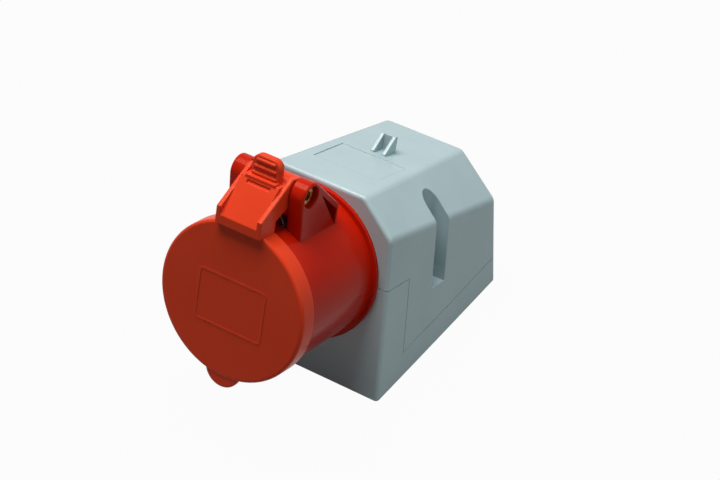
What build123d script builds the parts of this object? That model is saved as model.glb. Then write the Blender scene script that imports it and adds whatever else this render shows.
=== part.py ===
from build123d import *
from math import asin, atan2, cos, degrees, hypot, radians, sin, tan
import os

# Surface mounted industrial wall socket with a spring loaded hinged lid: five poles, 16 A.
#
# Sizes are in millimetres. Everything is modelled in the socket's own frame: the origin is where
# the socket's axis crosses the front face of the housing, X points right, Y runs along the axis
# into the housing and Z is square to both. The last step turns each piece by wall_tilt, so that
# the wall face lies flat, with the origin in the middle of the four wall screws.

# Housing, outside
wall_tilt = 15.2
axis_height = 54.35
foot_length = 102.2
foot_half_width = 46.9
crease_half_width_front = 40.2
crease_half_width_rear = 41.2
crease_height_front = 25.0
crease_height_rear = 14.6
top_half_width_front = 23.6
top_half_width_rear = 20.8
top_height_front = 39.8
top_height_rear = 33.5
top_length = 92.2
crease_round = 5.0
rear_round = 2.0
front_round = 1.8

# Housing, walls and parting
shell_wall = 2.8
front_wall = 3.2
floor_wall = 3.0
section_depth = 20.0
section_reach = 10.0
seam_step = 18.8
tray_height = 12.0
seam_gap = 0.25
seal_width = 1.2
seal_inset = 0.8
seal_depth = 1.4
seal_hole_margin = 1.0
barrel_hole_gap = 0.3

# Screw grooves in both sides of the cover
groove_side_margin = 12.9
groove_y = 45.0
groove_half_width = 5.5
groove_floor = -12.0
groove_wall = 2.2

# Fastener sizes
cover_screw_radius = 2.0
cover_screw_length = 22.0
cover_screw_head_radius = 3.9
cover_screw_head_height = 2.6
cover_washer_height = 0.8
cover_washer_radius = 4.7
screw_hole_gap = 0.25
thread_gap = 0.05
post_radius = 4.6
post_gap = 0.2
post_rib_drop = 6.0
post_rib_width = 2.0
small_screw_radius = 1.4
small_screw_length = 9.0
small_screw_head_radius = 2.6
small_screw_head_height = 1.8
slot_width = 0.9
slot_depth = 1.0
head_round_share = 0.35
cross_share = 0.6

# Wall fixing
wall_screw_side_margin = 9.9
wall_screw_end_margin = 14.1
wall_hole_radius = 3.0
wall_pad_radius = 5.4
wall_pad_height = 1.6
wall_seal_height = 1.0
wall_seal_inset = 0.4
knockout_radius = 11.0
knockout_groove = 1.2
knockout_skin = 1.0

# Cable entry in the rear of the cover
entry_height = 6.0
entry_radius = 12.6
entry_lip_radius = 15.4
entry_lip_height = 1.8
entry_membrane = 1.2
entry_nipple_radius = 6.0
entry_nipple_height = 5.0
entry_nipple_flare = 3.0
entry_hollow_flare = 2.0
entry_lip_chamfer = 1.0
entry_inner_lip = 1.4
entry_wall = 2.0

# Lug on top of the cover: two fins and a back plate
lug_front = 48.5
lug_length = 9.2
lug_height = 7.9
fin_thickness = 1.7
fin_center = 3.1
fin_nose = 0.8
pad_half_width = 17.2
pad_front = 21.0
pad_rear = 45.4
pad_depth = 0.4
lug_root = 1.0

# Barrel, measured from the front face of the lid where a name says reach
lid_reach = 58.8
lid_radius = 37.0
lid_thickness = 2.7
lid_round = 1.5
skirt_length = 8.75
skirt_wall = 2.0
shoulder_gap = 0.6
collar_gap = 1.3
lid_seal_height = 2.5
lid_seal_width = 3.0
lid_seal_gap = 0.2
barrel_radius_front = 35.6
barrel_radius_rear = 35.2
barrel_wall = 3.6
ring_radius = 37.4
ring_height = 2.0
neck_radius = 33.8
rear_flange_radius = 35.8
rear_flange_height = 3.0
rear_sleeve_length = 13.0
gasket_height = 1.2
guide_radius = 29.8
guide_width = 2.2
guide_count = 16
guide_start = 2.0
shoulder_round = 0.8

# Hinge
pin_reach = 22.0
pin_height = 50.0
pin_radius = 3.0
pin_wall = 0.8
pin_flange_radius = 3.8
pin_flange_height = 0.9
pin_gap = 0.08
ear_inner = 12.0
ear_outer = 19.0
ear_radius = 6.6
ear_round = 0.9
ear_foot_reach = 18.3
ear_sink = 8.4
counterbore_radius = 5.1
counterbore_depth = 3.0
hood_slope = 38.6
hood_end_reach = 46.0
hood_wall = 2.0
hood_front_offset = 5.9
pocket_depth = 5.0
pocket_top_margin = 2.7
pocket_rear_margin = 1.8
pocket_start = 7.4
pocket_low_rise = 3.0

# Arm of the lid
arm_half_width = 11.6
cheek_thickness = 2.2
cheek_round = 0.6
cheek_root = 3.0
cheek_heel = 1.0
cheek_under_angle = -126.8
arm_front = 2.6
arm_nose_height = 43.0
arm_corner_reach = 17.6
arm_corner_height = 57.0
arm_foot_height = 35.2
hub_radius = 6.3
hub_bore_wall = 1.4
hub_thickness = 5.6
sleeve_start_angle = 20.0
sleeve_end_angle = 125.0
panel_half_width = 9.4
panel_lip_height = 39.2
panel_top_reach = 10.8
panel_top_height = 54.2
panel_thickness = 2.4
panel_root = 2.0
panel_lip_fall = 1.0
panel_pin_overlap = 1.0
panel_hub_step = 0.1
panel_side_overlap = 0.2
ledge_half_width = 7.6
ledge_overhang = 0.6
ledge_root = 0.5
ledge_thickness = 1.6
slot_half_length = 6.0
slot_height = 1.6
slot_back = 2.2
slot_floor = 0.8
grip_half_width = 7.1
grip_front_reach = 13.1
grip_thickness = 4.1
grip_rise = 10.1
grip_root = 2.0
grip_round = 4.0
grip_edge_round = 0.8
grip_rib_drops = (8.5, 5.3, 2.2)
grip_rib_half_lengths = (5.6, 5.0, 4.2)
grip_rib_radius = 0.8

# Lid face
label_half_width = 17.5
label_half_height = 12.5
label_center_height = -1.5
label_line = 0.9
label_rise = 0.15
label_round = 2.0
label_inner_round = 1.2
lip_tab_radius = 9.0
lip_tab_height = -33.2
lip_tab_start = 0.5
lip_tab_thickness = 3.0
lip_tab_round = 0.9

# Spring around the hinge pin
wire_radius = 0.6
spring_radius = 4.15
spring_half_length = 4.4
spring_turns = 6.25
spring_knee_drop = 7.2
spring_foot_x = 9.6
spring_foot_depth = 1.2
spring_tip_length = 2.4
spring_hole_reach = 2.0
wire_gap = 0.15

# Contact carrier and contacts
carrier_radius = 24.2
carrier_recess = 3.0
carrier_seat = -8.0
carrier_flange_radius = 31.4
carrier_flange_height = 4.0
carrier_wall = 2.2
carrier_face = 3.2
carrier_round = 1.0
entry_gap = 0.85
block_gap = 0.2
block_radius = 27.5
block_front = -14.0
block_rear = 9.0
ledge_height = 2.5
snap_rise = 0.9
snap_height = 1.6
snap_width = 8.0
snap_gap = 0.1
snap_count = 3
snap_start_angle = 30.0
retainer_height = 2.4
pole_circle_radius = 16.5
pole_count = 5
phase_sleeve_radius = 4.0
phase_bore_radius = 2.55
earth_sleeve_radius = 5.0
earth_bore_radius = 3.55
sleeve_gap = 0.1
sleeve_length = 36.0
sleeve_slit = 0.8
sleeve_slit_length = 18.0
bore_depth = 26.0
terminal_half = 4.7
terminal_gap = 0.2
terminal_length = 14.0
wire_hole_radius = 2.2
wire_hole_depth = 10.0
wire_hole_gap = 0.6
terminal_screw_radius = 2.0
terminal_screw_head_radius = 3.0
terminal_screw_head = 2.2
terminal_screw_back = 6.0
terminal_screw_rise = 0.6
terminal_screw_bite = 0.2
terminal_recess = 1.0
window_half_width = 3.6

# Reach of cuts, and how far an added piece runs into the one that carries it
far = 300.0
drill_reach = 30.0
hood_cut_reach = 20.0
cut_margin = 1.0
root_depth = 1.0
tolerance = 0.01

# Derived places
groove_x = foot_half_width - groove_side_margin
wall_screw_spacing_x = 2 * (foot_half_width - wall_screw_side_margin)
wall_screw_spacing_y = foot_length - 2 * wall_screw_end_margin
grip_top_height = panel_top_height + grip_rise
lid_front = -lid_reach
skirt_inner_radius = lid_radius - skirt_wall
collar_radius = skirt_inner_radius - collar_gap
collar_front = lid_front + lid_thickness + lid_seal_height + lid_seal_gap
shoulder_front = lid_front + skirt_length + shoulder_gap
pin_y = lid_front + pin_reach
flange_front = front_wall + gasket_height
barrel_bore_radius = barrel_radius_front - barrel_wall
carrier_front = collar_front + carrier_recess
foot_rear_y = foot_length * cos(radians(wall_tilt))
foot_rear_z = foot_length * sin(radians(wall_tilt)) - axis_height
rear_lean = degrees(atan2(foot_rear_y - top_length, top_height_rear - foot_rear_z))
terminal_front = block_rear - terminal_recess - terminal_length
pole_angles = [-90.0 + 360.0 / pole_count * i for i in range(pole_count)]
pole_names = ["contact_pe", "contact_l1", "contact_l2", "contact_l3", "contact_n"]

os.makedirs("parts", exist_ok=True)


def along_y(radius, y_start, y_end):
    """A round bar on the socket's axis."""
    bar = Cylinder(radius, y_end - y_start, align=(Align.CENTER, Align.CENTER, Align.MIN))
    return Pos(0, y_start, 0) * Rot(-90, 0, 0) * bar


def tube_y(outer, inner, y_start, y_end):
    """A ring on the socket's axis."""
    return along_y(outer, y_start, y_end) - along_y(inner, y_start - cut_margin, y_end + cut_margin)


def side_profile(points, half_width):
    """A side view, given as (y, z) points, made as thick as the width on both sides of the middle."""
    return extrude(Plane.YZ * Polygon(*points), amount=half_width, both=True)


def side_disc(radius, x_start, x_end, y, z):
    """A round bar that runs across the socket."""
    bar = Cylinder(radius, x_end - x_start, align=(Align.CENTER, Align.CENTER, Align.MIN))
    return Pos(x_start, y, z) * Rot(0, 90, 0) * bar


def mirrored(piece):
    """The piece with its copy on the other side."""
    return piece + mirror(piece, about=Plane.YZ)


def wall_plane(height):
    """The plane parallel to the wall at this height above it, facing away from the wall."""
    normal = Vector(0, -sin(radians(wall_tilt)), cos(radians(wall_tilt)))
    foot = Vector(0, 0, -axis_height) + normal * height
    return Plane(origin=foot, x_dir=(1, 0, 0), z_dir=normal)


def rear_plane(inset):
    """The plane of the rear face, moved inwards, facing out."""
    normal = Vector(0, cos(radians(rear_lean)), sin(radians(rear_lean)))
    foot = Vector(0, foot_rear_y, foot_rear_z) - normal * inset
    return Plane(origin=foot, x_dir=(1, 0, 0), z_dir=normal)


def beyond(plane):
    """Everything on the side that the plane faces."""
    return plane * Box(2 * far, 2 * far, far, align=(Align.CENTER, Align.CENTER, Align.MIN))


def to_wall(piece):
    """Turns a piece so that the wall face lies flat, with the wall screws around the origin."""
    foot_front_y = -axis_height * sin(radians(wall_tilt))
    middle = foot_front_y + foot_length / 2
    return Pos(0, -middle, axis_height * cos(radians(wall_tilt))) * Rot(-wall_tilt, 0, 0) * piece


# Housing


def housing_section(y, inset):
    """The housing's outline at one distance behind its front face."""
    share = y / top_length
    top_z = top_height_front + share * (top_height_rear - top_height_front)
    top_x = top_half_width_front + share * (top_half_width_rear - top_half_width_front)
    crease_z = crease_height_front + share * (crease_height_rear - crease_height_front)
    crease_x = crease_half_width_front + share * (crease_half_width_rear - crease_half_width_front)
    foot_z = y * tan(radians(wall_tilt)) - axis_height
    draft = (foot_half_width - crease_x) / (crease_z - foot_z)
    low = (foot_half_width + draft * section_depth, foot_z - section_depth)
    right = [low, (crease_x, crease_z), (top_x, top_z)]
    left = [(-x, z) for x, z in reversed(right)]
    outline = Plane.XZ.offset(-y) * Polygon(*right, *left)
    return offset(outline, amount=-inset, kind=Kind.INTERSECTION) if inset else outline


def housing_form(inset, front_inset, floor_inset):
    """The housing's form, with its sides moved inwards."""
    reach = foot_length + section_reach
    form = loft([housing_section(0, inset).face(), housing_section(reach, inset).face()], ruled=True)
    form -= Pos(0, front_inset, 0) * Box(far, far, far, align=(Align.CENTER, Align.MAX, Align.CENTER))
    form -= beyond(rear_plane(inset))
    below = wall_plane(floor_inset)
    form -= below * Box(2 * far, 2 * far, far, align=(Align.CENTER, Align.CENTER, Align.MAX))
    return form


def on_plane(edge, plane):
    """True where the whole edge lies in the plane."""
    places = [edge @ 0, edge @ 0.5, edge @ 1]
    return all(abs((place - plane.origin).dot(plane.z_dir)) < tolerance for place in places)


def rounded_housing():
    """The outside of the closed housing, with its edges rounded."""
    form = housing_form(0, 0, 0)
    lengthwise = [e for e in form.edges() if abs((e @ 0).Y - (e @ 1).Y) > top_length / 2]
    creases = [e for e in lengthwise if (e @ 0.5).Z > 0]
    form = fillet(creases, crease_round)
    wall = wall_plane(0)
    rear = rear_plane(0)
    rear_edges = [e for e in form.edges() if on_plane(e, rear) and not on_plane(e, wall)]
    form = fillet(rear_edges, rear_round)
    front = Plane.XZ
    front_edges = [e for e in form.edges() if on_plane(e, front) and not on_plane(e, wall)]
    return fillet(front_edges, front_round)


def base_region(growth):
    """The space below the seam: the lower front block and the tray against the wall."""
    block = Pos(0, seam_step + growth, growth) * Box(
        2 * far, far, far, align=(Align.CENTER, Align.MAX, Align.MAX))
    tray = wall_plane(tray_height + growth) * Box(
        2 * far, 2 * far, far, align=(Align.CENTER, Align.CENTER, Align.MAX))
    return block + tray


def groove_plan(radius, z_start):
    """One side groove seen from above, from its round inner end outwards, as a cutting block."""
    plan = Circle(radius) + Pos(far / 4, 0) * Rectangle(far / 2, 2 * radius)
    return Pos(groove_x, groove_y, z_start) * extrude(plan, amount=far)


def cover_lug():
    """Two fins with slanted fronts and a plate behind them, on the top face."""
    slope = (top_height_rear - top_height_front) / top_length
    front_z = top_height_front + slope * lug_front
    rear_y = lug_front + lug_length
    rear_z = top_height_front + slope * rear_y
    side = [(lug_front, front_z - lug_root), (lug_front, front_z + fin_nose)]
    side += [(rear_y - fin_thickness, rear_z + lug_height), (rear_y, rear_z + lug_height)]
    side += [(rear_y, rear_z - lug_root)]
    fin = Pos(fin_center, 0, 0) * side_profile(side, fin_thickness / 2)
    plate_y = rear_y - fin_thickness
    plate_side = [(plate_y, rear_z - lug_root), (plate_y, rear_z + lug_height)]
    plate_side += [(rear_y, rear_z + lug_height), (rear_y, rear_z - lug_root)]
    return mirrored(fin) + side_profile(plate_side, fin_center)


def top_recess():
    """The shallow rectangular field in the top face."""
    slope = (top_height_rear - top_height_front) / top_length
    front_z = top_height_front + slope * pad_front
    rear_z = top_height_front + slope * pad_rear
    side = [(pad_front, front_z - pad_depth), (pad_front, front_z + cut_margin)]
    side += [(pad_rear, rear_z + cut_margin), (pad_rear, rear_z - pad_depth)]
    return side_profile(side, pad_half_width)


def entry_place():
    """The middle of the cable entry on the rear face, facing out."""
    plane = rear_plane(0)
    climb = (entry_height - foot_rear_z) / cos(radians(rear_lean))
    return Plane(origin=plane.origin - plane.y_dir * climb, x_dir=(1, 0, 0), z_dir=plane.z_dir)


def wall_screw_places():
    """The four wall screws, on the wall face."""
    x = wall_screw_spacing_x / 2
    y = wall_screw_spacing_y / 2
    return [(-x, -y), (x, -y), (x, y), (-x, y)]


def on_wall(place, height):
    """A location on the wall plane, measured from the middle of the wall face."""
    plane = wall_plane(height)
    middle = Vector(0, foot_length / 2 * cos(radians(wall_tilt)),
                    foot_length / 2 * sin(radians(wall_tilt)) - axis_height)
    middle += plane.z_dir * height
    centered = Plane(origin=middle, x_dir=(1, 0, 0), z_dir=plane.z_dir)
    return centered * Pos(place[0], place[1], 0)


def seal_band(gap):
    """The cord that lies along the seam, in the middle of the wall."""
    outer_inset = seal_inset - gap
    inner_inset = seal_inset + seal_width + gap
    band = housing_form(outer_inset, outer_inset, 0) - housing_form(inner_inset, inner_inset, 0)
    layer = base_region(seal_depth + gap) - base_region(0)
    band = band & layer
    hole_radius = neck_radius + barrel_hole_gap + seal_hole_margin
    return band - along_y(hole_radius, -cut_margin, front_wall + cut_margin)


def make_base(outside, hollow):
    """The lower front block and the tray, with posts, pads and a knock-out."""
    base = (outside & base_region(0)) - hollow
    base -= along_y(neck_radius + barrel_hole_gap, -cut_margin, front_wall + cut_margin)
    floor_space = housing_form(shell_wall / 2, front_wall / 2, floor_wall / 2)
    post_top = groove_floor - groove_wall - post_gap
    post = Pos(groove_x, groove_y, post_top) * Cylinder(
        post_radius, far, align=(Align.CENTER, Align.CENTER, Align.MAX))
    rib_bottom = post_top - post_rib_drop
    rib = Pos(groove_x, groove_y, rib_bottom) * Box(
        far, post_rib_width, far, align=(Align.MIN, Align.CENTER, Align.MAX))
    rib = rib & base_region(0)
    base += mirrored((post + rib) & floor_space)
    pilot = Cylinder(cover_screw_radius + thread_gap, 2 * cover_screw_length)
    base -= mirrored(Pos(groove_x, groove_y, post_top) * pilot)
    for place in wall_screw_places():
        pad = on_wall(place, floor_wall) * Cylinder(
            wall_pad_radius, wall_pad_height, align=(Align.CENTER, Align.CENTER, Align.MIN))
        base += pad & floor_space
    for place in wall_screw_places():
        base -= on_wall(place, 0) * Cylinder(wall_hole_radius, 2 * drill_reach)
    ring = Cylinder(
        knockout_radius + knockout_groove, floor_wall, align=(Align.CENTER, Align.CENTER, Align.MIN))
    ring -= Cylinder(knockout_radius, floor_wall, align=(Align.CENTER, Align.CENTER, Align.MIN))
    return base - on_wall((0, 0), knockout_skin) * ring


def make_cover(outside, hollow):
    """The upper shell with the side grooves, the lug and the cable entry."""
    shell_space = outside - base_region(seam_gap)
    cover = shell_space - hollow
    sleeve = groove_plan(groove_half_width + groove_wall, groove_floor - groove_wall)
    cover += mirrored(sleeve) & shell_space
    cover -= mirrored(groove_plan(groove_half_width, groove_floor))
    hole = Pos(groove_x, groove_y, groove_floor) * Cylinder(cover_screw_radius + screw_hole_gap, drill_reach)
    cover -= mirrored(hole)
    cover -= along_y(neck_radius + barrel_hole_gap, -cut_margin, front_wall + cut_margin)
    cover += cover_lug()
    cover -= top_recess()
    cover -= entry_place() * Cylinder(entry_radius, drill_reach)
    return cover - seal_band(0)


def make_entry_grommet():
    """The rubber membrane grommet in the cable entry."""
    lip = entry_lip_height
    inside = entry_radius - entry_wall
    hook = entry_radius + entry_inner_lip
    profile = [(0, -shell_wall), (inside, -shell_wall), (inside, -shell_wall - lip)]
    profile += [(hook, -shell_wall - lip), (hook, -shell_wall)]
    profile += [(entry_radius, -shell_wall), (entry_radius, 0), (entry_lip_radius, 0)]
    profile += [(entry_lip_radius, lip / 2), (entry_lip_radius - entry_lip_chamfer, lip)]
    profile += [(entry_nipple_radius + entry_nipple_flare, lip)]
    profile += [(entry_nipple_radius, lip + entry_nipple_height), (0, lip + entry_nipple_height)]
    solid = revolve(Plane.XZ * Polygon(*profile), Axis.Z)
    foot = entry_nipple_radius + entry_hollow_flare
    hollow = [(0, -shell_wall - lip - cut_margin), (foot, -shell_wall - lip - cut_margin)]
    hollow += [(foot - entry_membrane, lip - entry_membrane)]
    hollow += [(entry_nipple_radius - entry_membrane, lip + entry_nipple_height - entry_membrane)]
    hollow += [(0, lip + entry_nipple_height - entry_membrane)]
    return entry_place() * (solid - revolve(Plane.XZ * Polygon(*hollow), Axis.Z))


def machine_screw(radius, length, head_radius, head_height):
    """A pan head screw that points down, with the underside of its head at the origin."""
    shank = Cylinder(radius, length, align=(Align.CENTER, Align.CENTER, Align.MAX))
    head = Cylinder(head_radius, head_height, align=(Align.CENTER, Align.CENTER, Align.MIN))
    head = fillet(head.edges().group_by(Axis.Z)[-1], head_height * head_round_share)
    bar = Box(2 * head_radius, slot_width, 2 * slot_depth)
    cross = Pos(0, 0, head_height) * (bar + Rot(0, 0, 90) * bar)
    cross = cross & Pos(0, 0, head_height) * Cylinder(head_radius * cross_share, 2 * slot_depth)
    return shank + head - cross


# Barrel with the hinge ears


def slope_point(distance, offset_from_pin):
    """A (y, z) point on a line parallel to the hood's slope, counted from beside the pin."""
    slope = radians(hood_slope)
    y = pin_y + offset_from_pin * sin(slope) + distance * cos(slope)
    z = pin_height + offset_from_pin * cos(slope) - distance * sin(slope)
    return (y, z)


def slope_height(y, offset_from_pin):
    """The height of that line at one place along the socket."""
    slope = radians(hood_slope)
    return pin_height + (offset_from_pin - (y - pin_y) * sin(slope)) / cos(slope)


def round_pin(radius, angle):
    """A (y, z) point on a circle round the pin, with the angle counted from the rear upwards."""
    return (pin_y + radius * cos(radians(angle)), pin_height + radius * sin(radians(angle)))


def headed_plate(points, head_radius, start_angle, end_angle, x_start, x_end):
    """A plate seen from the side: straight edges through the points, closed by an arc round the pin."""
    start = round_pin(head_radius, start_angle)
    middle = round_pin(head_radius, (start_angle + end_angle) / 2)
    end = round_pin(head_radius, end_angle)
    edges = [ThreePointArc(start, middle, end).edge()] + list(Polyline(end, *points, start).edges())
    return extrude(Plane.YZ.offset(x_start) * make_face(edges), amount=x_end - x_start)


def rounded_side(plate, x, edge_round):
    """The plate with the edges of one side rounded."""
    return fillet([e for e in plate.edges() if on_plane(e, Plane.YZ.offset(x))], edge_round)


def ear_front_angle(foot):
    """The angle round the pin at which the line up from the ear's foot touches the round head."""
    run = pin_y - foot[0]
    rise = pin_height - foot[1]
    return 90 + degrees(atan2(rise, run) + asin(ear_radius / hypot(run, rise)))


def hinge_hood():
    """Two ears for the pin, joined by a sloping roof and a rear wall."""
    low = barrel_radius_rear - ear_sink
    foot = (lid_front + ear_foot_reach, low)
    end_y = lid_front + hood_end_reach
    side = [(end_y, slope_height(end_y, ear_radius)), (end_y, low), foot]
    hood = headed_plate(side, ear_radius, ear_front_angle(foot), 90 - hood_slope, -ear_outer, ear_outer)
    hood = rounded_side(rounded_side(hood, ear_outer, ear_round), -ear_outer, ear_round)
    inner_y = end_y - hood_wall
    roof_inside = ear_radius - hood_wall
    roof_start = slope_point(hood_front_offset, roof_inside)
    space_y = foot[0] - hood_cut_reach
    space = [(space_y, low - cut_margin), (space_y, pin_height + hood_cut_reach)]
    space += [slope_point(hood_front_offset, ear_radius + hood_cut_reach), roof_start]
    space += [(inner_y, slope_height(inner_y, roof_inside)), (inner_y, low - cut_margin)]
    hood -= side_profile(space, ear_inner)
    pocket_rear = end_y - pocket_rear_margin
    pocket_line = ear_radius - pocket_top_margin
    low_corner = (pocket_rear, low + pocket_low_rise)
    high_corner = slope_point(pocket_start, pocket_line)
    rear_corner = (pocket_rear, slope_height(pocket_rear, pocket_line))
    pocket = side_profile([high_corner, rear_corner, low_corner], pocket_depth)
    hood -= mirrored(Pos(ear_outer, 0, 0) * pocket)
    seat = ear_outer - counterbore_depth
    hood -= mirrored(side_disc(counterbore_radius, seat, ear_outer + cut_margin, pin_y, pin_height))
    return hood - side_disc(pin_radius, -ear_outer, ear_outer, pin_y, pin_height)


def make_barrel():
    """The socket's body: collar, barrel, flanges, guide ribs and hinge ears."""
    outline = [(0, collar_front), (collar_radius, collar_front), (collar_radius, shoulder_front)]
    outline += [(barrel_radius_front - shoulder_round, shoulder_front)]
    outline += [(barrel_radius_front, shoulder_front + shoulder_round), (barrel_radius_rear, -ring_height)]
    outline += [(ring_radius, -ring_height), (ring_radius, 0)]
    outline += [(neck_radius, 0), (neck_radius, flange_front)]
    outline += [(rear_flange_radius, flange_front), (rear_flange_radius, flange_front + rear_flange_height)]
    outline += [(neck_radius, flange_front + rear_flange_height), (neck_radius, rear_sleeve_length)]
    outline += [(0, rear_sleeve_length)]
    barrel = revolve(Polygon(*outline), Axis.Y) - foot_hole()
    barrel += hinge_hood()
    ledge_front = carrier_seat - ledge_height
    barrel -= along_y(barrel_bore_radius, collar_front - cut_margin, ledge_front)
    barrel -= along_y(guide_radius, ledge_front - cut_margin, carrier_seat + cut_margin)
    barrel -= along_y(barrel_bore_radius, carrier_seat, rear_sleeve_length + cut_margin)
    rib_front = collar_front + guide_start
    rib_depth = barrel_bore_radius - guide_radius
    rib_length = ledge_front + root_depth - rib_front
    rib = Box(rib_depth + root_depth, rib_length, guide_width, align=(Align.MIN, Align.MIN, Align.CENTER))
    step = 360.0 / guide_count
    for i in range(guide_count):
        barrel += Rot(0, -90 + step * (i + 0.5), 0) * Pos(guide_radius, rib_front, 0) * rib
    snap_y = carrier_seat + carrier_flange_height + snap_gap
    snap = Box(snap_rise + root_depth, snap_height, snap_width, align=(Align.MIN, Align.MIN, Align.CENTER))
    snap_step = 360.0 / snap_count
    for i in range(snap_count):
        turn = Rot(0, snap_start_angle + snap_step * i, 0)
        barrel += turn * Pos(barrel_bore_radius - snap_rise, snap_y, 0) * snap
    return barrel


def make_hinge_pin():
    """The tubular brass pin, with a flange at each end."""
    seat = ear_outer - counterbore_depth
    pin = side_disc(pin_radius, -seat, seat, pin_y, pin_height)
    flange = side_disc(pin_flange_radius, seat, seat + pin_flange_height, pin_y, pin_height)
    pin += mirrored(flange)
    return pin - side_disc(pin_radius - pin_wall, -far, far, pin_y, pin_height)


# Lid


def arm_cheek():
    """One side wall of the lid's arm, with its hub."""
    nose_y = lid_front - arm_front
    low = skirt_inner_radius - cheek_root
    skirt_rear = lid_front + skirt_length
    side = [(skirt_rear, panel_lip_height + cheek_heel), (skirt_rear, low), (nose_y, low)]
    side += [(nose_y, arm_nose_height), (lid_front + arm_corner_reach, arm_corner_height)]
    inner = arm_half_width - cheek_thickness
    cheek = headed_plate(side, hub_radius, 90, cheek_under_angle, inner, arm_half_width)
    cheek = rounded_side(cheek, arm_half_width, cheek_round)
    return cheek + side_disc(hub_radius, arm_half_width - hub_thickness, inner, pin_y, pin_height)


def hub_sleeve():
    """The curved cover that joins the two hubs over the spring."""
    inner = hub_radius - hub_bore_wall
    ring = side_disc(hub_radius, -arm_half_width, arm_half_width, pin_y, pin_height)
    ring -= side_disc(inner, -far, far, pin_y, pin_height)
    start = radians(sleeve_start_angle)
    end = radians(sleeve_end_angle)
    ray = 3 * hub_radius
    wedge = [(pin_y, pin_height), (pin_y + ray * cos(start), pin_height + ray * sin(start))]
    wedge += [(pin_y, pin_height + 2 * ray), (pin_y + ray * cos(end), pin_height + ray * sin(end))]
    return ring & side_profile(wedge, arm_half_width)


def arm_panel():
    """The sloping plate of the arm, from its lower lip to the thumb grip."""
    nose_y = lid_front - arm_front
    top_y = lid_front + panel_top_reach
    grip_y = lid_front + grip_front_reach
    back_y = nose_y + panel_thickness
    hub_y = pin_y - panel_pin_overlap
    foot_z = arm_foot_height - panel_root
    side = [(nose_y, foot_z), (nose_y, panel_lip_height), (top_y, panel_top_height)]
    side += [(grip_y + grip_thickness, panel_top_height), (hub_y, pin_height + hub_radius - panel_hub_step)]
    side += [(hub_y, pin_height + hub_radius - hub_bore_wall), (grip_y, panel_top_height - panel_thickness)]
    side += [(back_y, panel_lip_height - panel_lip_fall), (back_y, foot_z)]
    return side_profile(side, panel_half_width + panel_side_overlap)


def thumb_grip():
    """The upright thumb grip with its ribs, and the ledge in front of its foot."""
    grip_y = lid_front + grip_front_reach
    foot_z = panel_top_height - grip_root
    height = grip_rise + grip_root
    plate = Plane.XZ.offset(-grip_y - grip_thickness) * Pos(0, foot_z) * Rectangle(
        2 * grip_half_width, height, align=(Align.CENTER, Align.MIN))
    grip = extrude(plate, amount=grip_thickness)
    corners = grip.edges().filter_by(Axis.Y).group_by(Axis.Z)[-1]
    grip = fillet(corners, grip_round)
    upper = [e for e in grip.edges() if (e @ 0.5).Z > foot_z + tolerance]
    top_edges = [e for e in upper if abs((e @ 0).Y - (e @ 1).Y) < tolerance]
    grip = fillet(top_edges, grip_edge_round)
    for drop, half_length in zip(grip_rib_drops, grip_rib_half_lengths):
        z = grip_top_height - drop
        rib = side_disc(grip_rib_radius, -half_length, half_length, grip_y, z)
        ends = [Pos(x, grip_y, z) * Sphere(grip_rib_radius) for x in (-half_length, half_length)]
        grip += rib + ends[0] + ends[1]
    ledge_y = lid_front + panel_top_reach - ledge_overhang
    ledge_length = grip_y - ledge_y + ledge_root
    ledge = Pos(0, ledge_y, panel_top_height) * Box(
        2 * ledge_half_width, ledge_length, ledge_thickness, align=(Align.CENTER, Align.MIN, Align.CENTER))
    return grip + ledge


def arm_slot():
    """The blind slot across the panel, under the ledge."""
    slope = atan2(panel_top_height - panel_lip_height, panel_top_reach + arm_front)
    y = lid_front + panel_top_reach - slot_back * cos(slope)
    z = panel_top_height - slot_back * sin(slope)
    return Pos(0, y, z) * Rot(degrees(slope), 0, 0) * Box(2 * slot_half_length, slot_height, 2 * slot_floor)


def make_lid():
    """The lid: a shallow cap, its arm with the thumb grip, and the lifting tab."""
    edge = lid_front + lid_round
    corner = Pos(lid_radius - lid_round, edge) * Circle(lid_round)
    cap_outline = [(0, lid_front), (lid_radius - lid_round, lid_front), (lid_radius, edge)]
    cap_outline += [(lid_radius, lid_front + skirt_length), (skirt_inner_radius, lid_front + skirt_length)]
    cap_outline += [(skirt_inner_radius, lid_front + lid_thickness), (0, lid_front + lid_thickness)]
    half = Polygon(*cap_outline) + corner
    cap = revolve(half, Axis.Y)
    tab = along_y(lip_tab_radius, lid_front + lip_tab_start, lid_front + lip_tab_start + lip_tab_thickness)
    tab = fillet(tab.edges(), lip_tab_round)
    cap += Pos(0, 0, lip_tab_height) * tab - along_y(skirt_inner_radius, lid_front + lid_thickness, 0)
    arm = mirrored(arm_cheek()) + hub_sleeve() + arm_panel()
    arm -= along_y(skirt_inner_radius, lid_front + lid_thickness / 2, lid_front + 2 * skirt_length)
    arm -= Pos(0, lid_front, arm_foot_height) * Box(
        far, far, far, align=(Align.CENTER, Align.MAX, Align.MAX))
    arm += thumb_grip()
    arm -= arm_slot()
    lid = cap + arm
    lid -= side_disc(pin_radius + pin_gap, -far, far, pin_y, pin_height)
    lid -= hub_notch()
    return lid + label_frame()


def label_frame():
    """The thin raised rectangle on the lid's face."""
    outer = RectangleRounded(2 * label_half_width, 2 * label_half_height, label_round)
    inner_width = 2 * (label_half_width - label_line)
    inner_height = 2 * (label_half_height - label_line)
    inner = RectangleRounded(inner_width, inner_height, label_inner_round)
    plane = Plane.XZ.offset(-lid_front - lid_thickness / 2) * Pos(0, label_center_height)
    return extrude(plane * (outer - inner), amount=lid_thickness / 2 + label_rise)


def make_lid_gasket():
    """The soft ring inside the lid that meets the collar's front edge."""
    start = lid_front + lid_thickness
    return tube_y(collar_radius, collar_radius - lid_seal_width, start, start + lid_seal_height)


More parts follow.
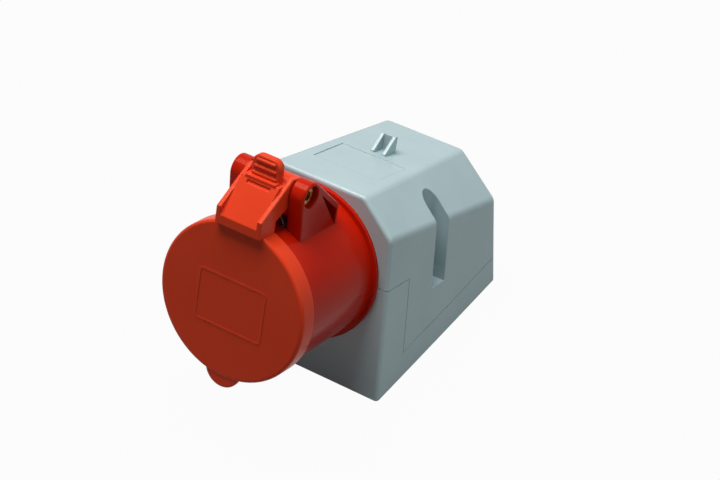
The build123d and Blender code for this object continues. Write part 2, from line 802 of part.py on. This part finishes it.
def bar_between(start, end, radius):
    """A round bar from one point to another."""
    direction = end - start
    plane = Plane(origin=start, z_dir=direction)
    return plane * Cylinder(radius, direction.length, align=(Align.CENTER, Align.CENTER, Align.MIN))


def spring_foot():
    """The place where the spring's fixed leg stands in the barrel."""
    seat = (barrel_radius_front ** 2 - spring_foot_x ** 2) ** 0.5 - spring_foot_depth
    return Vector(spring_foot_x, pin_y - spring_radius, seat)


def foot_hole():
    """The blind hole in the barrel for the spring's fixed leg."""
    foot = spring_foot()
    hole = Cylinder(wire_radius + wire_gap, drill_reach, align=(Align.CENTER, Align.CENTER, Align.MIN))
    zone = along_y(barrel_radius_front, foot.Y - spring_hole_reach, foot.Y + spring_hole_reach)
    return Pos(foot.X, foot.Y, foot.Z) * hole & zone


def hub_notch():
    """The notch in one hub that holds the spring's other end."""
    half = wire_radius + wire_gap
    hub_face = arm_half_width - hub_thickness
    depth = spring_tip_length + wire_gap
    notch = Box(depth, 2 * half, spring_radius + half, align=(Align.MAX, Align.CENTER, Align.MIN))
    return Pos(-hub_face, pin_y, pin_height) * notch


def make_spring():
    """The torsion spring on the pin: one leg stands in the barrel, the other end sits in the hub."""
    pitch = 2 * spring_half_length / spring_turns
    path = Helix(pitch, 2 * spring_half_length, spring_radius)
    section = Plane(origin=path @ 0, z_dir=path % 0) * Circle(wire_radius)
    coil = Rot(0, -90, 0) * Rot(0, 0, -90) * sweep(section, path=path, is_frenet=True)
    spring = Pos(spring_half_length, pin_y, pin_height) * coil
    leg_y = pin_y - spring_radius
    start = Vector(spring_half_length, leg_y, pin_height)
    knee = Vector(spring_half_length, leg_y, pin_height - spring_knee_drop)
    foot = spring_foot()
    ankle = Vector(foot.X, leg_y, barrel_radius_front)
    end = Vector(-spring_half_length, pin_y, pin_height + spring_radius)
    hub_face = arm_half_width - hub_thickness
    tip = Vector(-hub_face - spring_tip_length, pin_y, pin_height + spring_radius)
    for first, last in ((start, knee), (knee, ankle), (ankle, foot), (end, tip)):
        spring += bar_between(first, last, wire_radius)
    for bend in (start, knee, ankle, end):
        spring += Pos(bend.X, bend.Y, bend.Z) * Sphere(wire_radius)
    return spring


# Contacts


def pole_location(angle):
    """The place of one pole on its circle, with local X pointing outwards and local Z rearwards."""
    return Rot(0, -angle, 0) * Pos(pole_circle_radius, 0, 0) * Rot(-90, 0, 0)


def pole_sizes(name):
    """The sleeve's and the bore's radius of one pole."""
    if name == "contact_pe":
        return earth_sleeve_radius, earth_bore_radius
    return phase_sleeve_radius, phase_bore_radius


def rear_bar(radius, y_start, y_end):
    """A round bar along a pole's own axis."""
    bar = Cylinder(radius, y_end - y_start, align=(Align.CENTER, Align.CENTER, Align.MIN))
    return Pos(0, 0, y_start) * bar


def make_contact(name, angle):
    """A slit sleeve for the plug's pin, and its terminal block for the wire."""
    outer, bore = pole_sizes(name)
    front = terminal_front - sleeve_length
    contact = rear_bar(outer, front, terminal_front)
    side = 2 * terminal_half
    block = Box(side, side, terminal_length, align=(Align.CENTER, Align.CENTER, Align.MIN))
    contact += Pos(0, 0, terminal_front) * block
    contact -= rear_bar(bore, front - cut_margin, front + bore_depth)
    slit = Box(4 * outer, sleeve_slit, 2 * sleeve_slit_length)
    contact -= Pos(0, 0, front) * (slit + Rot(0, 0, 90) * slit)
    rear = terminal_front + terminal_length
    contact -= rear_bar(wire_hole_radius, rear - wire_hole_depth, rear + cut_margin)
    hole = Pos(0, 0, rear - terminal_screw_back) * Rot(0, 90, 0) * Cylinder(
        terminal_screw_radius + thread_gap, drill_reach, align=(Align.CENTER, Align.CENTER, Align.MIN))
    return pole_location(angle) * (contact - hole)


def make_terminal_screws():
    """One clamping screw in each terminal, reached from outside the carrier."""
    seat = terminal_half + terminal_screw_rise
    length = seat - wire_hole_radius * terminal_screw_bite
    screw = machine_screw(
        terminal_screw_radius, length, terminal_screw_head_radius, terminal_screw_head)
    rear = terminal_front + terminal_length
    placed = Pos(seat, 0, rear - terminal_screw_back) * Rot(0, 90, 0) * screw
    return Compound(children=[(pole_location(angle) * placed).solid() for angle in pole_angles])


def make_carrier():
    """The insulating cup in front: five entry holes in its face, and a flange on the barrel's ledge."""
    rear = carrier_seat + carrier_flange_height
    carrier = along_y(carrier_radius, carrier_front, carrier_seat)
    carrier = fillet(carrier.edges().group_by(Axis.Y)[0], carrier_round)
    carrier += along_y(carrier_flange_radius, carrier_seat, rear)
    carrier -= along_y(carrier_radius - carrier_wall, carrier_front + carrier_face, rear + cut_margin)
    hole_start = carrier_front - cut_margin
    hole_end = carrier_front + carrier_face + cut_margin
    for name, angle in zip(pole_names, pole_angles):
        bore = pole_sizes(name)[1]
        hole = rear_bar(bore + entry_gap, hole_start, hole_end)
        carrier -= pole_location(angle) * hole
    return carrier


def make_terminal_block():
    """The insulating block behind the cup that holds the contacts and their terminals."""
    seat = carrier_seat + carrier_flange_height
    block = along_y(carrier_radius - carrier_wall - block_gap, block_front, seat + root_depth)
    block += along_y(block_radius, seat, block_rear)
    rear = terminal_front + terminal_length
    half = terminal_half + terminal_gap
    for name, angle in zip(pole_names, pole_angles):
        outer = pole_sizes(name)[0]
        cut = rear_bar(outer + sleeve_gap, block_front - cut_margin, terminal_front)
        pocket = Box(2 * half, 2 * half, drill_reach, align=(Align.CENTER, Align.CENTER, Align.MIN))
        cut += Pos(0, 0, terminal_front - sleeve_gap) * pocket
        window = Box(
            drill_reach, 2 * window_half_width, drill_reach, align=(Align.MIN, Align.CENTER, Align.MIN))
        cut += Pos(0, 0, rear - terminal_screw_back - window_half_width) * window
        block -= pole_location(angle) * cut
    hole_start = block_rear + retainer_height - small_screw_length
    return block - along_y(small_screw_radius + thread_gap, hole_start, block_rear + cut_margin)


def make_retainer():
    """The insulating plate that closes the terminal block from behind."""
    plate = along_y(block_radius, block_rear, block_rear + retainer_height)
    hole_start = block_rear - cut_margin
    hole_end = block_rear + retainer_height + cut_margin
    for angle in pole_angles:
        hole = rear_bar(wire_hole_radius + wire_hole_gap, hole_start, hole_end)
        plate -= pole_location(angle) * hole
    return plate - along_y(small_screw_radius + screw_hole_gap, hole_start, hole_end)


def make_retainer_screw():
    """The screw that holds the retainer to the terminal block."""
    screw = machine_screw(
        small_screw_radius, small_screw_length, small_screw_head_radius, small_screw_head_height)
    return Pos(0, block_rear + retainer_height, 0) * Rot(-90, 0, 0) * screw


# Fasteners and seals of the housing


def make_cover_screws():
    """The two screws at the bottom of the side grooves."""
    screw = machine_screw(
        cover_screw_radius, cover_screw_length, cover_screw_head_radius, cover_screw_head_height)
    seat = groove_floor + cover_washer_height
    return Compound(children=[(Pos(x, groove_y, seat) * screw).solid() for x in (-groove_x, groove_x)])


def make_cover_washers():
    """A sealing washer under each cover screw."""
    washer = Cylinder(
        cover_washer_radius, cover_washer_height, align=(Align.CENTER, Align.CENTER, Align.MIN))
    washer -= Cylinder(cover_screw_radius + thread_gap, drill_reach)
    sides = (-groove_x, groove_x)
    return Compound(children=[(Pos(x, groove_y, groove_floor) * washer).solid() for x in sides])


def make_wall_seals():
    """A rubber ring on each wall screw pad."""
    ring = Cylinder(
        wall_pad_radius - wall_seal_inset, wall_seal_height, align=(Align.CENTER, Align.CENTER, Align.MIN))
    ring -= Cylinder(wall_hole_radius, drill_reach)
    height = floor_wall + wall_pad_height
    return Compound(children=[(on_wall(place, height) * ring).solid() for place in wall_screw_places()])


def make_barrel_gasket():
    """The flat ring between the front wall and the barrel's rear flange."""
    return tube_y(rear_flange_radius, neck_radius, front_wall, flange_front)


outside = rounded_housing()
hollow = housing_form(shell_wall, front_wall, floor_wall)

pieces = {
    "base": make_base(outside, hollow),
    "cover": make_cover(outside, hollow),
    "housing_seal": seal_band(0),
    "cover_screws": make_cover_screws(),
    "cover_washers": make_cover_washers(),
    "wall_seals": make_wall_seals(),
    "entry_grommet": make_entry_grommet(),
    "socket_barrel": make_barrel(),
    "barrel_gasket": make_barrel_gasket(),
    "contact_carrier": make_carrier(),
    "terminal_block": make_terminal_block(),
    "carrier_retainer": make_retainer(),
    "retainer_screw": make_retainer_screw(),
    "terminal_screws": make_terminal_screws(),
    "hinge_pin": make_hinge_pin(),
    "torsion_spring": make_spring(),
    "lid": make_lid(),
    "lid_gasket": make_lid_gasket(),
}
for name, angle in zip(pole_names, pole_angles):
    pieces[name] = make_contact(name, angle)

for name, piece in pieces.items():
    export_step(to_wall(piece), f"parts/{name}.step")
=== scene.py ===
import bpy
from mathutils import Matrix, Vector


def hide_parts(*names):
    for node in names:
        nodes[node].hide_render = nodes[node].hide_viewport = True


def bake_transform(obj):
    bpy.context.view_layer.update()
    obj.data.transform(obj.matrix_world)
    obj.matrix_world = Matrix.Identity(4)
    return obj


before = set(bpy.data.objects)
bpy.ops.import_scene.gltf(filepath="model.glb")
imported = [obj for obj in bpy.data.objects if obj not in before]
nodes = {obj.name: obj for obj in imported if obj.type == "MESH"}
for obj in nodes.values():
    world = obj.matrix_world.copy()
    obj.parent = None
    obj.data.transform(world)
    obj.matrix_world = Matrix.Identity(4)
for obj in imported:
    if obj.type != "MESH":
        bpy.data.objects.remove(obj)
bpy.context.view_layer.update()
scene = bpy.context.scene
scene.view_settings.view_transform = "Standard"

MM = 0.001
WHITE = (1.0, 1.0, 1.0)


# Shader nodes

NOISE_LOW = 0.3
NOISE_HIGH = 0.7
EDGE_SAMPLES = 6

# Places of the colour sockets on a mix node
MIX_FACTOR = 0
MIX_FIRST = 6
MIX_SECOND = 7
MIX_RESULT = 2


class Shader:
    """A node material under construction."""

    def __init__(self, name):
        self.material = bpy.data.materials.new(name)
        self.material.use_nodes = True
        self.tree = self.material.node_tree
        self.principled = self.tree.nodes["Principled BSDF"]
        self.coords = self.node("ShaderNodeTexCoord").outputs["Object"]

    def node(self, kind, **values):
        made = self.tree.nodes.new(kind)
        for key, value in values.items():
            setattr(made, key, value)
        return made

    def link(self, source, target):
        self.tree.links.new(source, target)

    def noise(self, scale, detail, roughness=0.5, stretch=None):
        """Cloudy noise, drawn out into lines where a stretch is given."""
        made = self.node("ShaderNodeTexNoise")
        made.inputs["Scale"].default_value = scale
        made.inputs["Detail"].default_value = detail
        made.inputs["Roughness"].default_value = roughness
        coords = self.coords
        if stretch:
            mapping = self.node("ShaderNodeMapping")
            mapping.inputs["Scale"].default_value = stretch
            self.link(self.coords, mapping.inputs["Vector"])
            coords = mapping.outputs["Vector"]
        self.link(coords, made.inputs["Vector"])
        return made.outputs["Fac"]

    def ramp(self, source, *stops):
        """A colour that goes from the first stop's to the second's as the source rises."""
        made = self.node("ShaderNodeValToRGB")
        for element, (place, colour) in zip(made.color_ramp.elements, stops):
            element.position = place
            element.color = (*colour, 1.0)
        self.link(source, made.inputs["Fac"])
        return made.outputs["Color"]

    def mapped(self, source, low, high):
        """A number that goes from low to high over the middle range of a noise."""
        made = self.node("ShaderNodeMapRange")
        made.inputs["From Min"].default_value = NOISE_LOW
        made.inputs["From Max"].default_value = NOISE_HIGH
        made.inputs["To Min"].default_value = low
        made.inputs["To Max"].default_value = high
        self.link(source, made.inputs["Value"])
        return made.outputs["Result"]

    def mix(self, share, source, colour):
        """A colour from another node with a share of a plain colour in it."""
        made = self.node("ShaderNodeMix", data_type="RGBA")
        self.link(share, made.inputs[MIX_FACTOR])
        self.link(source, made.inputs[MIX_FIRST])
        made.inputs[MIX_SECOND].default_value = (*colour, 1.0)
        return made.outputs[MIX_RESULT]

    def bump(self, height, strength, distance, onto):
        """A relief on top of another normal."""
        made = self.node("ShaderNodeBump")
        made.inputs["Strength"].default_value = strength
        made.inputs["Distance"].default_value = distance
        self.link(height, made.inputs["Height"])
        self.link(onto, made.inputs["Normal"])
        return made.outputs["Normal"]

    def edges(self, radius):
        """A normal that rounds the edges in the shading."""
        made = self.node("ShaderNodeBevel", samples=EDGE_SAMPLES)
        made.inputs["Radius"].default_value = radius
        return made.outputs["Normal"]

    def set(self, **values):
        """Sets the surface's sockets to colours, numbers or other nodes, and returns the material."""
        for key, value in values.items():
            socket = self.principled.inputs[key.replace("_", " ")]
            if isinstance(value, bpy.types.NodeSocket):
                self.link(value, socket)
            elif isinstance(value, tuple):
                socket.default_value = (*value, 1.0)
            else:
                socket.default_value = value
        return self.material


# Finishes

DRIFT_START = 0.32
DRIFT_END = 0.68
PLASTIC_GLOSSIER = 0.03
PLASTIC_DULLER = 0.05

METAL_DULLER = 0.15
LINE_SHARE = 0.25
LINE_TONE = 0.75
LINE_DEPTH = 0.02 * MM
METAL_EDGE = 0.12 * MM

BLOOM_START = 0.35
BLOOM_END = 0.65
RUBBER_SMOOTHEST = 0.55
RUBBER_ROUGHEST = 0.75
RUBBER_GRAIN = 0.04 * MM
RUBBER_EDGE = 0.3 * MM


def moulded(name, low, high, roughness, specular, edge, grain_depth=0.006, tint=WHITE):
    """Moulded plastic: slow colour drift, uneven gloss, a fine grain and softened edges.

    The edge's radius and the grain's depth are in millimetres.
    """
    shader = Shader(name)
    drift = shader.noise(scale=38.0, detail=4.0)
    gloss = shader.noise(scale=150.0, detail=5.0, roughness=0.65)
    grain = shader.noise(scale=2200.0, detail=2.0)
    softened = shader.edges(edge * MM)
    return shader.set(
        Base_Color=shader.ramp(drift, (DRIFT_START, low), (DRIFT_END, high)),
        Roughness=shader.mapped(gloss, low=roughness - PLASTIC_GLOSSIER, high=roughness + PLASTIC_DULLER),
        Normal=shader.bump(grain, strength=0.35, distance=grain_depth * MM, onto=softened),
        Specular_IOR_Level=specular,
        Specular_Tint=tint)


def metal(name, low, high, roughness, stretch):
    """Turned or drawn metal with fine lines and dulled patches."""
    shader = Shader(name)
    patches = shader.noise(scale=220.0, detail=5.0, roughness=0.6)
    lines = shader.noise(scale=900.0, detail=3.0, roughness=0.6, stretch=stretch)
    plain = shader.ramp(patches, (NOISE_LOW, low), (NOISE_HIGH, high))
    line_colour = tuple(LINE_TONE * value for value in low)
    return shader.set(
        Base_Color=shader.mix(shader.mapped(lines, low=0.0, high=LINE_SHARE), plain, line_colour),
        Metallic=1.0,
        Roughness=shader.mapped(patches, low=roughness, high=roughness + METAL_DULLER),
        Normal=shader.bump(lines, strength=0.3, distance=LINE_DEPTH, onto=shader.edges(METAL_EDGE)))


def soft_rubber(name, low, high):
    """Moulded rubber with a dusty bloom."""
    shader = Shader(name)
    bloom = shader.noise(scale=160.0, detail=5.0, roughness=0.65)
    grain = shader.noise(scale=1500.0, detail=2.0)
    return shader.set(
        Base_Color=shader.ramp(bloom, (BLOOM_START, low), (BLOOM_END, high)),
        Roughness=shader.mapped(bloom, low=RUBBER_SMOOTHEST, high=RUBBER_ROUGHEST),
        Normal=shader.bump(grain, strength=0.4, distance=RUBBER_GRAIN, onto=shader.edges(RUBBER_EDGE)),
        Sheen_Weight=0.1)


WARM = (1.0, 0.60, 0.36)
GREY = moulded(
    "housing_plastic", low=(0.440, 0.565, 0.585), high=(0.476, 0.600, 0.620),
    roughness=0.20, specular=0.45, edge=0.5)
RED_LID = moulded(
    "lid_plastic", low=(0.80, 0.052, 0.015), high=(0.85, 0.058, 0.018),
    roughness=0.22, specular=0.17, edge=0.6, grain_depth=0.012, tint=WARM)
RED_BODY = moulded(
    "barrel_plastic", low=(0.53, 0.010, 0.0014), high=(0.57, 0.013, 0.0018),
    roughness=0.18, specular=0.15, edge=0.6, grain_depth=0.003, tint=WARM)
BLACK = moulded(
    "insulator_plastic", low=(0.012, 0.012, 0.013), high=(0.022, 0.022, 0.024),
    roughness=0.45, specular=0.4, edge=0.25, grain_depth=0.02)
BRASS = metal(
    "turned_brass", low=(0.86, 0.60, 0.20), high=(0.95, 0.72, 0.30),
    roughness=0.20, stretch=(1.0, 1.0, 9.0))
STEEL = metal(
    "plated_steel", low=(0.50, 0.51, 0.52), high=(0.68, 0.69, 0.70),
    roughness=0.28, stretch=(1.0, 9.0, 1.0))
SPRING = metal(
    "spring_wire", low=(0.055, 0.058, 0.062), high=(0.10, 0.105, 0.11),
    roughness=0.35, stretch=(9.0, 1.0, 1.0))
SEAL = soft_rubber("seal_rubber", low=(0.010, 0.010, 0.011), high=(0.022, 0.022, 0.024))
RUBBER = soft_rubber("entry_rubber", low=(0.030, 0.033, 0.035), high=(0.048, 0.052, 0.055))

FINISHES = [
    (GREY, ["base", "cover"]),
    (RED_BODY, ["socket_barrel"]),
    (RED_LID, ["lid"]),
    (BLACK, ["contact_carrier", "terminal_block", "carrier_retainer"]),
    (BRASS, ["hinge_pin", "contact_l1", "contact_l2", "contact_l3", "contact_n", "contact_pe"]),
    (STEEL, ["cover_screws", "retainer_screw", "terminal_screws"]),
    (SPRING, ["torsion_spring"]),
    (SEAL, ["housing_seal", "cover_washers", "wall_seals", "barrel_gasket", "lid_gasket"]),
    (RUBBER, ["entry_grommet"]),
]

for finish, names in FINISHES:
    for name in names:
        materials = nodes[name].data.materials
        materials.clear()
        materials.append(finish)


# Placing

def add_object(name, data):
    """A new object in the scene."""
    made = bpy.data.objects.new(name, data)
    scene.collection.objects.link(made)
    return made


def facing(direction):
    """The turn that points a camera or a light along a direction."""
    return direction.to_track_quat("-Z", "Y").to_euler()


# Spring


def twisting_spring():
    """A copy of the spring's coil, one leg in the barrel and the other end at the lid's hub, shown in
    place of the hidden original.
    """
    source = nodes["torsion_spring"]
    mesh = source.data.copy()
    mesh.transform(source.matrix_world)
    spring = add_object("twisting_spring", mesh)
    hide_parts("torsion_spring")
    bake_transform(spring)


twisting_spring()


# Camera at the photograph's angle

CAMERA_PLACE = (0.4168, -0.61585, 0.65949)
CAMERA_DIRECTION = Vector((-0.4274, 0.6368, -0.6416))
SENSOR_WIDTH = 36.0
FOCAL_LENGTH = 105.0
CLIP_NEAR = 0.01
CLIP_FAR = 20.0


def add_camera():
    data = bpy.data.cameras.new("camera")
    data.sensor_fit = "HORIZONTAL"
    data.sensor_width = SENSOR_WIDTH
    data.lens = FOCAL_LENGTH
    data.clip_start = CLIP_NEAR
    data.clip_end = CLIP_FAR
    camera = add_object("camera", data)
    camera.location = CAMERA_PLACE
    camera.rotation_euler = facing(CAMERA_DIRECTION)
    scene.camera = camera


add_camera()


# Floor and background

FLOOR_HALF = 6.0
FLOOR_DROP = 0.2 * MM
FLOOR_GREY = 0.25
FLOOR_ROUGHNESS = 0.9
FLOOR_SPECULAR = 0.1
FLOOR_WHITE_SHARE = 0.96
FLOOR_REFLECTED_SHARE = 0.45
SKY_WHITE_SHARE = 1.0
SKY_REFLECTED_SHARE = 0.55
AMBIENT = (0.85, 1.0, 1.03)
AMBIENT_STRENGTH = 0.078


def math_node(tree, operation, source):
    """A node that works on a socket, with its second input still open."""
    made = tree.nodes.new("ShaderNodeMath")
    made.operation = operation
    tree.links.new(source, made.inputs[0])
    return made


def seen_as_white(tree, surface, camera_share, reflection_share):
    """Mixes a surface with plain white where the camera, a reflection or glass looks at it."""
    path = tree.nodes.new("ShaderNodeLightPath")
    white = tree.nodes.new("ShaderNodeEmission")
    white.inputs["Color"].default_value = (*WHITE, 1.0)
    white.inputs["Strength"].default_value = 1.0
    shares = {
        "Is Camera Ray": camera_share,
        "Is Glossy Ray": reflection_share,
        "Is Transmission Ray": reflection_share,
    }
    seen = None
    for ray, share in shares.items():
        amount = math_node(tree, "MULTIPLY", path.outputs[ray])
        amount.inputs[1].default_value = share
        if seen:
            either = math_node(tree, "MAXIMUM", seen)
            tree.links.new(amount.outputs[0], either.inputs[1])
            amount = either
        seen = amount.outputs[0]
    mix = tree.nodes.new("ShaderNodeMixShader")
    tree.links.new(seen, mix.inputs[0])
    tree.links.new(surface, mix.inputs[1])
    tree.links.new(white.outputs[0], mix.inputs[2])
    return mix.outputs[0]


def floor_finish():
    """A dull grey that catches the object's shadow and looks nearly white."""
    look = bpy.data.materials.new("floor_look")
    look.use_nodes = True
    tree = look.node_tree
    paint = tree.nodes["Principled BSDF"]
    paint.inputs["Base Color"].default_value = (FLOOR_GREY, FLOOR_GREY, FLOOR_GREY, 1.0)
    paint.inputs["Roughness"].default_value = FLOOR_ROUGHNESS
    paint.inputs["Specular IOR Level"].default_value = FLOOR_SPECULAR
    seen = seen_as_white(tree, paint.outputs[0], FLOOR_WHITE_SHARE, FLOOR_REFLECTED_SHARE)
    tree.links.new(seen, tree.nodes["Material Output"].inputs["Surface"])
    return look


def add_floor():
    """A wide floor just under the wall face."""
    mesh = bpy.data.meshes.new("floor")
    corners = [(-1, -1), (1, -1), (1, 1), (-1, 1)]
    mesh.from_pydata([(FLOOR_HALF * x, FLOOR_HALF * y, 0) for x, y in corners], [], [(0, 1, 2, 3)])
    mesh.materials.append(floor_finish())
    floor = add_object("floor", mesh)
    floor.location.z = -FLOOR_DROP


def add_sky():
    """White to the eye, with a weaker and slightly cool light of its own."""
    world = bpy.data.worlds.new("studio")
    scene.world = world
    world.use_nodes = True
    tree = world.node_tree
    sky = tree.nodes["Background"]
    sky.inputs["Color"].default_value = (*AMBIENT, 1.0)
    sky.inputs["Strength"].default_value = AMBIENT_STRENGTH
    seen = seen_as_white(tree, sky.outputs[0], SKY_WHITE_SHARE, SKY_REFLECTED_SHARE)
    tree.links.new(seen, tree.nodes["World Output"].inputs["Surface"])


add_floor()
add_sky()


# Lights

LIGHT_TARGET = Vector((0, 0, 0.06))
COOL = (0.88, 1.0, 1.02)


def soft_box(name, place, size, power, colour):
    """A square soft light that faces the object."""
    data = bpy.data.lights.new(name, "AREA")
    data.shape = "SQUARE"
    data.size = size
    data.energy = power
    data.color = colour
    light = add_object(name, data)
    light.location = place
    light.rotation_euler = facing(LIGHT_TARGET - Vector(place))


soft_box("key_light", place=(-0.22, 0.03, 1.18), size=0.75, power=14.8, colour=WHITE)
soft_box("side_light", place=(1.05, 0.25, 0.55), size=0.80, power=2.5, colour=COOL)
